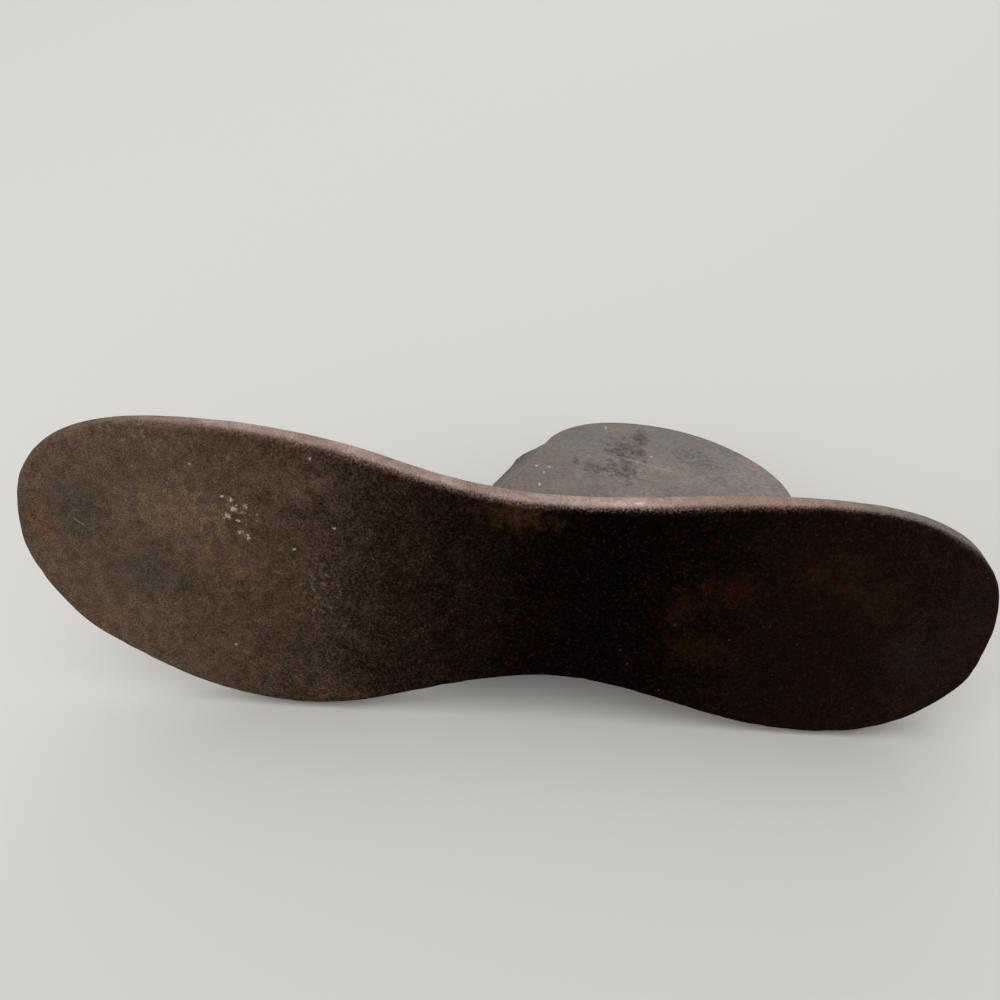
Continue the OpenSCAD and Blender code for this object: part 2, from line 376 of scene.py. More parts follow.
def turned(points):
    """Heel plate points (a, b, depth) in the casting: turned in its plane by the heel turn, face up at the
    heel face."""
    a, b, depth = points[..., 0], points[..., 1], points[..., 2]
    u = HEEL_AT + a * math.cos(HEEL_TURN) + b * math.sin(HEEL_TURN)
    w = HEEL_W + b * math.cos(HEEL_TURN) - a * math.sin(HEEL_TURN)
    return np.stack([u, w, HEEL_FACE - depth], -1)


def make_heel(material):
    """Heel plate: a plate shell about one pole, nearly flat, with a small worn rim."""
    outline = heel_outline(OUTLINE_STEPS)
    face_r = HEEL_RIM_R + HEEL_RIM_WEAR * relief(flat_ring(outline), cell=16, seed=5)
    back_r = HEEL_BACK_R + 0 * face_r
    pole = np.zeros_like(outline) + (0.0, -2.0)
    points, facing = plate_shell(outline, pole, HEEL_T, face_r, back_r, face_rows=40, back_rows=14)
    points, facing = turned(points), turned(points + facing) - turned(points)
    points = rough_cast(points, facing, broad=0.12, middle=0.03, fine=0.012, seed=31)
    return skin("heel_face", points, ["heel_plate"], material)


def web_edges(w):
    """Toe-side and heel-side edges of the webs at w: they leave the leg's sides by their root width times
    1 - t^1.2, and a small round lump stands on the toe side."""
    t = np.clip((w - SOLE_T) / (LEG_TIP - WEB_STOP - SOLE_T), 0, 1)
    spread = 1 - t**WEB_POWER
    lump = LUMP_H * np.exp(-(((w - LUMP_AT) / LUMP_R) ** 2))
    return LEG_AT - LEG_HALF_W - TOE_WEB * spread - lump, LEG_AT + LEG_HALF_W + HEEL_WEB * spread


def make_leg(material):
    """Leg and webs in one skin: rings across the leg, each a level top, rounded web edges and an underside
    that swells from the webs' depth to the leg's by a smooth step, tapering from root to tip."""
    tip_turn = np.sin(np.radians(np.linspace(0, 90, ROUND_STEPS)))[1:]
    shank = np.linspace(SOLE_T - INTO_SOLE, LEG_TIP - LEG_TIP_R, 90)
    w = np.concatenate([shank, LEG_TIP - LEG_TIP_R + LEG_TIP_R * tip_turn])
    toe_edge, heel_edge = web_edges(w)
    over = np.clip((w - (LEG_TIP - LEG_TIP_R)) / LEG_TIP_R, 0, 1)
    drawn = LEG_TIP_R * (1 - np.sqrt(1 - over**2))
    toe_edge = (toe_edge + drawn)[:, None]
    heel_edge = (heel_edge - drawn)[:, None]
    depth = (LEG_ROOT + (LEG_END - LEG_ROOT) * (w - SOLE_T) / (LEG_TIP - SOLE_T) - drawn)[:, None]
    top = HEEL_UNDER + INTO_HEEL
    low = HEEL_UNDER - WEB_T
    r = WEB_EDGE_R

    across = np.linspace(0, 1, 40)[None, :]
    level = toe_edge + r + (heel_edge - toe_edge - 2 * r) * across
    q = np.radians(np.linspace(90, -90, 14))[None, 1:-1]
    bow = squared(np.cos(q), WEB_SQUARING)
    rise = squared(np.sin(q), WEB_SQUARING)
    side_v = (top + low) / 2 + (top - low) / 2 * rise + 0 * heel_edge
    beneath = level[:, ::-1]
    swell = 1 - smooth(*LEG_SIDE, np.abs(beneath - LEG_AT) / LEG_HALF_W)
    under = low - (depth - WEB_T) * swell
    u = np.concatenate([level, heel_edge - r + r * bow, beneath, toe_edge + r - r * bow], 1)
    v = np.concatenate([top + 0 * level, side_v, under, side_v[:, ::-1]], 1)
    grid = capped(np.stack([u, np.broadcast_to(w[:, None], u.shape), v], -1))
    points = rough_cast(grid, facing_of(grid), broad=0.25, middle=0.14, fine=0.06, seed=41)
    return skin("leg_and_webs", points, ["leg", "toe_gusset", "heel_gusset"], material)


def make_shoulder(material):
    """Shoulder beside the breast: rings along it, each a slope from the heel face's rim to an outer edge that
    is rounded over and drops to the web. The edge bulges once, then draws in and rises to the breast's far
    end."""
    b = np.linspace(BREAST_NEAR - 2, BREAST_FAR + 6, 80)[:, None]
    wide = np.interp(b, WIDE_AT, WIDE)
    edge = np.interp(b, EDGE_AT, EDGE)
    t = np.linspace(0, 1, 24)[None, :]
    q = np.radians(np.linspace(10, 90, ROUND_STEPS))[None, :]
    slope_a = -HEEL_FRONT + SHOULDER_INSET - (wide + SHOULDER_INSET - SHOULDER_LIP) * t
    slope_v = SHOULDER_CREST + (edge - SHOULDER_CREST) * (0.6 * t + 0.4 * smooth(0, 1, t))
    over_a = slope_a[:, -1:] - SHOULDER_LIP * np.sin(q)
    over_v = edge - SHOULDER_DROP * (1 - np.cos(q))
    inside = slope_a[:, :1] + SHOULDER_INTO_HEEL
    shut_a = np.concatenate([over_a[:, -1:], inside, inside], 1)
    beneath = HEEL_UNDER - SHOULDER_INTO_WEB
    shut_v = np.array([[beneath, beneath, HEEL_FACE - SHOULDER_COVER]]) + 0 * b
    a = np.concatenate([slope_a, over_a, shut_a], 1)
    v = np.concatenate([slope_v, over_v, shut_v], 1)
    grid = capped(turned(np.stack([a, np.broadcast_to(b, a.shape), HEEL_FACE - v], -1)))
    points = rough_cast(grid, -facing_of(grid), broad=0.15, middle=0.1, fine=0.04, seed=51)
    return skin("breast_slope", points, ["breast_shoulder"], material)


def make_fillet(material):
    """Fillet over the leg's root: a hollow quarter ellipse from the back of the sole to the webs, faded out
    at both ends."""
    toe_end = LEG_AT - LEG_HALF_W - TOE_WEB
    heel_end = LEG_AT + LEG_HALF_W + HEEL_WEB
    u = np.linspace(toe_end + 1, heel_end - 1, 110)[:, None]
    size = smooth(toe_end, toe_end + FILLET_FADE, u) * smooth(-heel_end, FILLET_FADE - heel_end, -u)
    depth = FILLET_END_DEPTH + FILLET_DEPTH * size
    height = FILLET_END_HEIGHT + FILLET_HEIGHT * size
    q = np.radians(np.linspace(0, 90, 16))[None, :]
    hollow_w = SOLE_T - FILLET_INTO_SOLE + depth * (1 - np.cos(q))
    hollow_v = HEEL_UNDER + height * (1 - np.sin(q))
    inside = SOLE_T - INTO_SOLE + 0 * u
    w = np.concatenate([hollow_w, inside, inside], 1)
    v = np.concatenate([hollow_v, HEEL_UNDER - 1 + 0 * u, HEEL_UNDER + height], 1)
    grid = capped(np.stack([np.broadcast_to(u, w.shape), w, v], -1))
    points = rough_cast(grid, -facing_of(grid), broad=0.1, middle=0.1, fine=0.04, seed=61)
    return skin("root_curve", points, ["root_fillet"], material)


def make_foot(material):
    """Rest foot: rings of a squared ellipse that draw in from the leg's underside by a smooth step and go
    down to the floor, which cuts them level, with the last rings rounded in."""
    q = np.linspace(0, 2 * np.pi, 96, endpoint=False)[None, :]
    h = np.linspace(0, 1, 18)[:, None]
    spread = 1 + FOOT_FLARE * (1 - smooth(0, 0.55, h)) - FOOT_ROUNDING * smooth(0.85, 1, h) ** 2
    u = LEG_AT + FOOT_HALF_W * spread * squared(np.cos(q), FOOT_SQUARING_U)
    w = LEG_TIP - FOOT_FROM_TIP + FOOT_HALF_D * spread * squared(np.sin(q), FOOT_SQUARING_W)
    tipped = (w * math.sin(LEAN) + SHIFT[2]) / math.cos(LEAN)
    floor_v = (tipped + u * math.sin(TIP)) / math.cos(TIP)
    top_v = HEEL_UNDER - LEG_END + FOOT_INTO_LEG
    v = top_v + (floor_v - top_v) * h
    grid = capped(np.stack([u, w, v], -1))
    return skin("rest_pad", grid, ["rest_foot"], material)


# Finishes


def srgb(r, g, b):
    """Linear colour of an 8-bit screen colour."""
    c = np.array([r, g, b]) / 255
    linear = np.where(c <= 0.04045, c / 12.92, ((c + 0.055) / 1.055) ** 2.4)
    return (*(float(x) for x in linear), 1.0)


def add(tree, kind, wires=None, **settings):
    """Adds a node with these settings. A wire is an input's name or number, with a socket to link or a value
    to set."""
    node = tree.nodes.new(kind)
    for key, value in settings.items():
        setattr(node, key, value)
    for key, value in (wires or {}).items():
        if isinstance(value, bpy.types.NodeSocket):
            tree.links.new(value, node.inputs[key])
        else:
            node.inputs[key].default_value = value
    return node


def sums(tree, operation, first, *others):
    """Arithmetic on values, each worked on with the result so far."""
    result = first
    for other in others:
        result = add(tree, "ShaderNodeMath", {0: result, 1: other}, operation=operation).outputs[0]
    return result


def times(tree, *values):
    """Product of values."""
    return sums(tree, "MULTIPLY", *values)


def vectors(tree, operation, a, b, output=0):
    """One step of arithmetic on two vectors."""
    return add(tree, "ShaderNodeVectorMath", {0: a, 1: b}, operation=operation).outputs[output]


def window(tree, value, low, high):
    """0 at low and 1 at high, by a smooth step."""
    wires = {"Value": value, "From Min": low, "From Max": high}
    return add(tree, "ShaderNodeMapRange", wires, interpolation_type="SMOOTHSTEP").outputs[0]


def between(tree, mask, low, high):
    """Value that goes from low to high as the mask says."""
    return add(tree, "ShaderNodeMix", {0: mask, 2: low, 3: high}, data_type="FLOAT").outputs[0]


def paint(tree, mask, under, over, how="MIX"):
    """Colour over laid on colour under, as strongly as the mask says."""
    node = add(tree, "ShaderNodeMix", {0: mask, 6: under, 7: over}, data_type="RGBA", blend_type=how)
    return node.outputs[2]


def tint(tree, mask, strength, under, screen_colour):
    """Screen colour laid on colour under, as strongly as the mask says, times a strength."""
    return paint(tree, times(tree, mask, strength), under, srgb(*screen_colour))


def grey_of(tree, value):
    """Grey colour of that value."""
    return add(tree, "ShaderNodeCombineColor", {0: value, 1: value, 2: value}).outputs[0]


def rise_of(tree):
    """How far the surface looks up: the Z of its normal."""
    normal = add(tree, "ShaderNodeNewGeometry").outputs["Normal"]
    return add(tree, "ShaderNodeSeparateXYZ", {0: normal}).outputs["Z"]


def new_group(name, inputs, output):
    """Empty node group on a position, with more named inputs, each a first value, and one output."""
    tree = bpy.data.node_groups.new(name, "ShaderNodeTree")
    for label, value in {"Position": (0, 0, 0), **inputs}.items():
        kind = "NodeSocketVector" if isinstance(value, tuple) else "NodeSocketFloat"
        tree.interface.new_socket(label, in_out="INPUT", socket_type=kind).default_value = value
    tree.interface.new_socket(output, in_out="OUTPUT", socket_type="NodeSocketFloat")
    return tree, add(tree, "NodeGroupInput").outputs, add(tree, "NodeGroupOutput").inputs


def cloud_group():
    """Cloudy mask: noise with blotches about one cell across, opened between two levels."""
    inputs = {"Cell": 10.0, "Low": 0.4, "High": 0.6, "Seed": 0.0}
    tree, given, result = new_group("cloudy_mask", inputs, "Mask")
    scale = sums(tree, "DIVIDE", 1.0, given["Cell"])
    wires = {"Vector": given["Position"], "W": given["Seed"], "Scale": scale, "Detail": 5.0,
             "Roughness": 0.62}
    noise = add(tree, "ShaderNodeTexNoise", wires, noise_dimensions="4D")
    mask = window(tree, noise.outputs["Fac"], given["Low"], given["High"])
    tree.links.new(mask, result["Mask"])
    return tree


def patch_group():
    """Ragged round patch: distance from a centre in shares of three radii, roughened by noise, faded from
    core to edge."""
    inputs = {"Centre": (0, 0, 0), "Radii": (10, 10, 10), "Ragged": 0.5, "Cell": 6.0, "Core": 0.3}
    tree, given, result = new_group("ragged_patch", inputs, "Mask")
    apart = vectors(tree, "SUBTRACT", given["Position"], given["Centre"])
    shares = vectors(tree, "DIVIDE", apart, given["Radii"])
    length = add(tree, "ShaderNodeVectorMath", {0: shares}, operation="LENGTH").outputs["Value"]
    scale = sums(tree, "DIVIDE", 1.0, given["Cell"])
    wires = {"Vector": given["Position"], "Scale": scale, "Detail": 5.0, "Roughness": 0.65}
    noise = add(tree, "ShaderNodeTexNoise", wires)
    stray = times(tree, sums(tree, "SUBTRACT", noise.outputs["Fac"], 0.5), given["Ragged"])
    reach = sums(tree, "ADD", length, times(tree, stray, 2.0))
    tree.links.new(window(tree, reach, 1.0, given["Core"]), result["Mask"])
    return tree


def specks_group():
    """Small specks: random cells of a Voronoi pattern that are chosen by their own random value, dots of
    their own size."""
    tree, given, result = new_group("specks", {"Cell": 3.0, "Share": 0.2, "Size": 0.3}, "Mask")
    scale = sums(tree, "DIVIDE", 1.0, given["Cell"])
    wires = {"Vector": given["Position"], "Scale": scale, "Randomness": 1.0}
    cells = add(tree, "ShaderNodeTexVoronoi", wires)
    own = add(tree, "ShaderNodeSeparateColor", {0: cells.outputs["Color"]})
    chosen = sums(tree, "LESS_THAN", own.outputs[0], given["Share"])
    size = times(tree, sums(tree, "ADD", times(tree, own.outputs[1], 0.8), 0.2), given["Size"])
    dot = window(tree, cells.outputs["Distance"], size, 0.0)
    tree.links.new(times(tree, dot, chosen), result["Mask"])
    return tree


def grain_group():
    """Height of a pitted iron skin: two sizes of noise less the hollows of a Voronoi pattern."""
    tree, given, result = new_group("pitted_grain", {"Fine": 0.5, "Pits": 0.5}, "Height")
    coarse = add(tree, "ShaderNodeTexNoise", {"Vector": given["Position"], "Scale": 0.45, "Detail": 4.0})
    fine = add(tree, "ShaderNodeTexNoise", {"Vector": given["Position"], "Scale": 1.9, "Detail": 4.0})
    wires = {"Vector": given["Position"], "Scale": 0.42, "Randomness": 1.0}
    cells = add(tree, "ShaderNodeTexVoronoi", wires)
    pit = times(tree, window(tree, cells.outputs["Distance"], 0.32, 0.05), given["Pits"])
    height = sums(tree, "ADD", coarse.outputs["Fac"], times(tree, fine.outputs["Fac"], given["Fine"]))
    tree.links.new(sums(tree, "SUBTRACT", height, pit), result["Height"])
    return tree


def scratch_group():
    """Fine scratches: noise drawn out many times along one direction in the plane of u and w, kept only at
    its peaks."""
    tree, given, result = new_group("scratches", {"Turn": 0.3, "Low": 0.62, "High": 0.72}, "Mask")
    wires = {"Vector": given["Position"], "Angle": given["Turn"]}
    turn = add(tree, "ShaderNodeVectorRotate", wires, rotation_type="Z_AXIS").outputs[0]
    drawn = vectors(tree, "MULTIPLY", turn, (0.035, 1.3, 0.5))
    noise = add(tree, "ShaderNodeTexNoise", {"Vector": drawn, "Scale": 1.0, "Detail": 3.0})
    tree.links.new(window(tree, noise.outputs["Fac"], given["Low"], given["High"]), result["Mask"])
    return tree


def stroke_group():
    """Thin line from a start to an end: distance from that segment, opened from the line's width, broken up
    by noise."""
    inputs = {"Start": (0, 0, 0), "End": (10, 0, 0), "Width": 0.5, "Broken": 0.5}
    tree, given, result = new_group("stroke", inputs, "Mask")
    apart = vectors(tree, "SUBTRACT", given["Position"], given["Start"])
    whole = vectors(tree, "SUBTRACT", given["End"], given["Start"])
    along = vectors(tree, "DOT_PRODUCT", apart, whole, "Value")
    square = vectors(tree, "DOT_PRODUCT", whole, whole, "Value")
    wires = {0: along, 1: square}
    share = add(tree, "ShaderNodeMath", wires, operation="DIVIDE", use_clamp=True).outputs[0]
    foot = add(tree, "ShaderNodeVectorMath", {0: whole, "Scale": share}, operation="SCALE").outputs[0]
    off = vectors(tree, "DISTANCE", apart, foot, "Value")
    noise = add(tree, "ShaderNodeTexNoise", {"Vector": given["Position"], "Scale": 0.9, "Detail": 4.0})
    stray = times(tree, sums(tree, "SUBTRACT", noise.outputs["Fac"], 0.45), given["Broken"])
    reach = sums(tree, "ADD", sums(tree, "DIVIDE", off, given["Width"]), times(tree, stray, 4.0))
    tree.links.new(window(tree, reach, 1.0, 0.3), result["Mask"])
    return tree


GROUPS = {"cloud": cloud_group(), "patch": patch_group(), "specks": specks_group(), "grain": grain_group(),
          "scratches": scratch_group(), "stroke": stroke_group()}


def use(tree, group, position, **values):
    """Places a group on a position with its own values and gives its output."""
    node = add(tree, "ShaderNodeGroup", node_tree=GROUPS[group])
    tree.links.new(position, node.inputs["Position"])
    for label, value in values.items():
        node.inputs[label.capitalize()].default_value = value
    return node.outputs[0]


def on_sole(tree, place, centre, radii, depth, **values):
    """Ragged patch on the sole's face, at a middle and with radii along u and v, that deep."""
    u, v = centre
    wide, high = radii
    return use(tree, "patch", place, centre=(u, 0, v), radii=(wide, depth, high), **values)


def on_heel(tree, place, centre, radii, depth, **values):
    """Ragged patch on the heel face, at a middle and with radii along u and w, that deep."""
    return use(tree, "patch", place, centre=(*centre, HEEL_FACE), radii=(*radii, depth), **values)


def new_finish(name):
    """Material with a Principled shader and the casting position (u, w, v) in mm, turned back from Object
    coordinates."""
    material = bpy.data.materials.new(name)
    material.use_nodes = True
    tree = material.node_tree
    raised = SHIFT[1] * math.sin(LEAN) + SHIFT[2] * math.cos(LEAN)
    home = (
        SHIFT[0] * math.cos(TIP) - raised * math.sin(TIP),
        SHIFT[1] * math.cos(LEAN) - SHIFT[2] * math.sin(LEAN),
        SHIFT[0] * math.sin(TIP) + raised * math.cos(TIP),
    )
    place = add(tree, "ShaderNodeMapping", {
        "Vector": add(tree, "ShaderNodeTexCoord").outputs["Object"], "Location": home,
        "Rotation": (LEAN, -TIP, 0.0), "Scale": (1 / MM, 1 / MM, 1 / MM)})
    return material, tree, tree.nodes["Principled BSDF"], place.outputs[0]


def bump(tree, shader, height, strength, distance):
    """Wires a height into the shader's normal, as deep as the distance in metres."""
    node = add(tree, "ShaderNodeBump", {"Height": height, "Strength": strength, "Distance": distance})
    tree.links.new(node.outputs[0], shader.inputs["Normal"])


# Stains on the sole, the last one a painted sheen: middle and radii along u and v in mm, colour, strength
SOLE_STAINS_AND_SHEEN = (
    ((-100, 8), (13, 15), (62, 58, 53), 0.75),
    ((-109.5, 4), (3.5, 8), (124, 72, 46), 0.5),
    ((-87, -8), (14, 11), (56, 56, 53), 0.6),
    ((-99, -24), (15, 10), (98, 74, 56), 0.5),
    ((-76, 11), (19, 12), (116, 95, 76), 0.9),
    ((-64, -2), (15, 11), (110, 86, 66), 0.55),
    ((-52, 22), (14, 9), (98, 80, 64), 0.9),
    ((-76, 28), (10, 4), (94, 64, 54), 0.4),
    ((-64.4, 26.5), (1.4, 1.5), (146, 114, 72), 0.7),
    ((-52, -12), (14, 16), (84, 64, 46), 0.4),
    ((1, 20), (12, 5.5), (78, 52, 32), 0.55),
    ((42, -1), (6, 8), (60, 32, 18), 0.4),
    ((53, 6), (12, 6), (54, 27, 13), 0.5),
    ((49, -12), (12, 7), (52, 29, 14), 0.5),
    ((73, 15), (15, 9), (52, 30, 16), 0.4),
    ((86, 8), (13, 9), (50, 28, 14), 0.4),
    # painted sheen: a grey haze on the dark seat
    ((98, -7), (10, 9), (48, 40, 34), 0.3),
)

# Pale specks on the ball of the sole: middle along u and v, radius, in mm
LIME_SPECKS = (
    ((-63.5, 13.3), 1.0), ((-65.3, 11.0), 0.9), ((-61.0, 14.3), 0.7), ((-62.7, 10.2), 0.45),
    ((-62.3, 7.1), 0.6), ((-60.7, 5.8), 0.75), ((-64.3, 15.7), 0.6), ((-66.3, 16.3), 0.5),
    ((-61.8, 12.6), 0.45), ((-73.1, 23.7), 0.4), ((-46.1, 28.8), 0.4), ((-40.7, 11.2), 0.4),
    ((-50.0, 4.3), 0.5), ((-65.0, -27.3), 0.4),
)

# Pale crust on the sole: middle and radii along u and v in mm
SOLE_CRUST = (((-44, -8), (9, 16)), ((-84, 29), (13, 6)))

# Painted highlights, small bright glints on the upper wall of the sole: middle and radii in mm
RIM_GLINTS = (((45.5, 6.6, 27.5), (2.2, 0.6, 3.0)), ((28.0, 3.2, 25.5), (1.6, 0.8, 3.0)))


def sole_colour_and_shade(tree, place, along_sole):
    """Colour of the sole's face: grey-brown forefoot, near-black waist and deep brown seat that fade into
    each other by grains, then stains and fine brown and black flecks. The fall from the lighter forefoot to
    the dark waist and seat is partly patina, partly painted shade."""
    drift = times(tree, use(tree, "cloud", place, cell=17.0, low=0.2, high=0.8, seed=1.7), 16.0)
    clumps = times(tree, use(tree, "cloud", place, cell=4.0, low=0.2, high=0.8, seed=5.3), 16.0)
    grains = times(tree, use(tree, "cloud", place, cell=0.6, low=0.25, high=0.75, seed=2.6), 44.0)
    along = sums(tree, "ADD", sums(tree, "SUBTRACT", along_sole, 28.0), drift, clumps, grains)
    # partly patina, partly painted shade: the face is painted darker from the forefoot towards the heel
    sole = paint(tree, window(tree, along, -90.0, 0.0), srgb(93, 76, 62), srgb(37, 24, 15))
    sole = paint(tree, window(tree, along, -40.0, 30.0), sole, srgb(4, 2, 1))
    sole = paint(tree, window(tree, along, 40.0, 90.0), sole, srgb(24, 12, 6))
    sole = paint(tree, window(tree, along, 90.0, 125.0), sole, srgb(33, 22, 17))
    fleck = use(tree, "cloud", place, cell=0.9, low=0.35, high=0.65, seed=12.0)
    fleck = between(tree, fleck, 0.35, 1.0)
    # stains, and one painted sheen, laid on the face
    for centre, radii, patch_colour, strength in SOLE_STAINS_AND_SHEEN:
        patch_mask = on_sole(tree, place, centre, radii, 9, ragged=1.4, cell=3.0, core=0.0)
        sole = tint(tree, times(tree, patch_mask, fleck), strength, sole, patch_colour)
    brown = use(tree, "cloud", place, cell=0.8, low=0.53, high=0.68, seed=9.0)
    sole = tint(tree, brown, 0.3, sole, (68, 40, 23))
    black = use(tree, "cloud", place, cell=1.1, low=0.56, high=0.72, seed=13.0)
    return tint(tree, black, 0.4, sole, (14, 9, 6))


def pale_marks(tree, place, colour):
    """Lime specks and crumbs, crust, dust and one scrape, laid on a colour."""
    for centre, radius in LIME_SPECKS:
        speck = on_sole(tree, place, centre, (radius, radius), 3, ragged=3.4, cell=0.7, core=0.0)
        colour = tint(tree, speck, 0.75, colour, (196, 184, 166))
    lime = on_sole(tree, place, (-62.5, 11), (5, 8), 4, ragged=1.0, cell=3.0, core=0.3)
    crumbs = use(tree, "specks", place, cell=0.9, share=0.4, size=0.5)
    colour = tint(tree, times(tree, lime, crumbs), 0.7, colour, (180, 168, 150))
    crust = use(tree, "cloud", place, cell=1.1, low=0.52, high=0.64, seed=14.0)
    for centre, radii in SOLE_CRUST:
        pale = on_sole(tree, place, centre, radii, 4, ragged=1.2, cell=4.0, core=0.2)
        colour = tint(tree, times(tree, pale, crust), 0.34, colour, (150, 132, 114))
    dust = use(tree, "specks", place, cell=2.3, share=0.1, size=0.15)
    colour = tint(tree, dust, 0.4, colour, (128, 112, 98))
    scrape = use(tree, "stroke", place, start=(-101.5, 0, 5.5), end=(-99.4, 0, 4.1), width=0.3, broken=0.3)
    return tint(tree, scrape, 0.45, colour, (158, 145, 131))


def dust_and_sheen_colour(tree, place, along_sole):
    """Colour of the dust and painted sheen on what looks up: patchy pink-brown, painted brightest over the
    leg, ruddier and then greyer to the heel."""
    patchy = use(tree, "cloud", place, cell=8.0, low=0.35, high=0.65, seed=3.0)
    dust_and_sheen = paint(tree, patchy, srgb(136, 115, 105), srgb(156, 136, 127))
    # painted sheen: a brighter patch on the upper wall over the leg
    bright = use(tree, "patch", place, centre=(23, 1.5, 24), radii=(32, 6, 14), ragged=0.5, cell=9.0,
                 core=0.0)
    dust_and_sheen = paint(tree, bright, dust_and_sheen, srgb(168, 148, 139))
    dust_and_sheen = tint(tree, window(tree, along_sole, 26.0, 46.0), 0.7, dust_and_sheen, (143, 118, 106))
    return paint(tree, window(tree, along_sole, 55.0, 92.0), dust_and_sheen, srgb(117, 107, 100))


def dust_and_sheen_cover(tree, place, at):
    """Where the dust and painted sheen lie: on what looks up, painted lighter as if lit from above, behind a
    speckled border along the sole's face, fading out to the toe and thinner on the webs."""
    border = times(tree, use(tree, "cloud", place, cell=0.5, low=0.25, high=0.75, seed=8.0), 1.6)
    narrower = times(tree, window(tree, at["X"], 58.0, 72.0), window(tree, at["X"], 100.0, 86.0))
    behind = sums(tree, "SUBTRACT", sums(tree, "ADD", at["Y"], border), narrower)
    # dust and painted light from above: surfaces that look up are made lighter
    looks_up = window(tree, rise_of(tree), 0.35, 0.8)
    off_toe = window(tree, at["X"], -108.0, -58.0)
    cover = times(tree, looks_up, window(tree, behind, 0.7, 3.5), off_toe)
    on_webs = times(tree, window(tree, at["Y"], 7.0, 14.0), 0.45)
    return times(tree, cover, sums(tree, "SUBTRACT", 1.0, on_webs))


def rusted_iron():
    """Rough brown-black iron: brown rust, the sole's colours with their painted shade on its face, pale
    marks, and dust with a painted sheen of light from above wherever the surface looks up."""
    material, tree, shader, place = new_finish("rusted_iron")
    at = add(tree, "ShaderNodeSeparateXYZ", {0: place}).outputs

    broad = use(tree, "cloud", place, cell=30.0, low=0.38, high=0.62)
    colour = paint(tree, broad, srgb(50, 38, 30), srgb(76, 59, 47))
    warm = use(tree, "cloud", place, cell=7.0, low=0.55, high=0.75, seed=4.0)
    colour = tint(tree, warm, 0.5, colour, (104, 68, 44))
    on_face = window(tree, at["Y"], 5.0, 1.5)
    # the sole's colours, with their painted shade, laid on its face
    colour = paint(tree, on_face, colour, sole_colour_and_shade(tree, place, at["X"]))

    grit = use(tree, "cloud", place, cell=0.4, low=0.32, high=0.68, seed=6.0)
    mottle = use(tree, "cloud", place, cell=2.6, low=0.3, high=0.7, seed=7.0)
    grey = grey_of(tree, times(tree, between(tree, grit, 0.5, 1.5), between(tree, mottle, 0.76, 1.24)))
    colour = paint(tree, 1.0, colour, grey, "MULTIPLY")
    colour = pale_marks(tree, place, colour)

    dust_and_sheen = paint(tree, 0.6, dust_and_sheen_colour(tree, place, at["X"]), grey, "MULTIPLY")
    cover = dust_and_sheen_cover(tree, place, at)
    # dust and painted sheen from above laid on what looks up
    colour = paint(tree, cover, colour, dust_and_sheen)
    # painted highlights on the upper wall
    for centre, radii in RIM_GLINTS:
        glint = use(tree, "patch", place, centre=centre, radii=radii, ragged=0.8, cell=0.8, core=0.2)
        colour = tint(tree, glint, 0.6, colour, (212, 202, 194))

    tree.links.new(colour, shader.inputs["Base Color"])
    tree.links.new(between(tree, cover, 0.88, 0.7), shader.inputs["Roughness"])
    shader.inputs["Specular IOR Level"].default_value = 0.02
    bump(tree, shader, use(tree, "grain", place, fine=0.5, pits=0.35), strength=0.5, distance=0.0003)
    return material


# Stains on the heel face: middle and radii along u and w in mm, strength
HEEL_STAINS = (
    ((31.5, 65.0), (8.5, 9.0), 1.0),
    ((36.6, 75.0), (3.5, 7.0), 0.9),
    ((22.0, 52.0), (4.2, 6.0), 0.9),
    ((30.0, 53.0), (6.0, 9.0), 1.0),
    ((16.3, 55.5), (2.0, 2.6), 0.9),
    ((52.6, 63.8), (9.0, 7.0), 0.5),
)

# Rust on the heel face: middle and radii along u and w in mm, colour, strength
HEEL_RUST = (
    ((30, 78), (8, 5), (104, 80, 54), 0.35),
    ((69.5, 67), (5, 7), (116, 78, 56), 0.5),
)

# White ticks on the heel face: middle and radii along u and w in mm
HEEL_TICKS = (
    ((6.7, 39.9), (0.4, 1.6)), ((7.7, 46.5), (0.35, 1.3)), ((9.2, 50.1), (0.5, 0.7)),
    ((5.6, 49.9), (0.8, 0.6)), ((25.9, 78.6), (0.4, 1.6)), ((38.7, 63.0), (0.45, 0.7)),
)


def worn_marks(tree, place, colour):
    """Fine scratches, one long scrape, white ticks and a light line along the breast, partly wear and partly
    a painted edge highlight, laid on a colour.
    """
    scratches = use(tree, "scratches", place, turn=0.25)
    colour = tint(tree, scratches, 0.2, colour, (122, 112, 104))
    left, right = (31, 60, HEEL_FACE), (46, 55, HEEL_FACE)
    scrape = use(tree, "stroke", place, start=left, end=right, width=0.45, broken=0.5)
    colour = tint(tree, scrape, 0.45, colour, (144, 130, 120))
    for centre, radii in HEEL_TICKS:
        tick = on_heel(tree, place, centre, radii, 3, ragged=0.9, cell=0.8, core=0.2)
        colour = tint(tree, tick, 0.55, colour, (206, 198, 188))
    # partly wear, partly a painted edge highlight along the breast
    near, far = (-3.4, 35.3, HEEL_FACE), (10.0, 71.0, HEEL_FACE)
    breast = use(tree, "stroke", place, start=near, end=far, width=1.2, broken=0.9)
    return tint(tree, breast, 0.55, colour, (132, 108, 88))


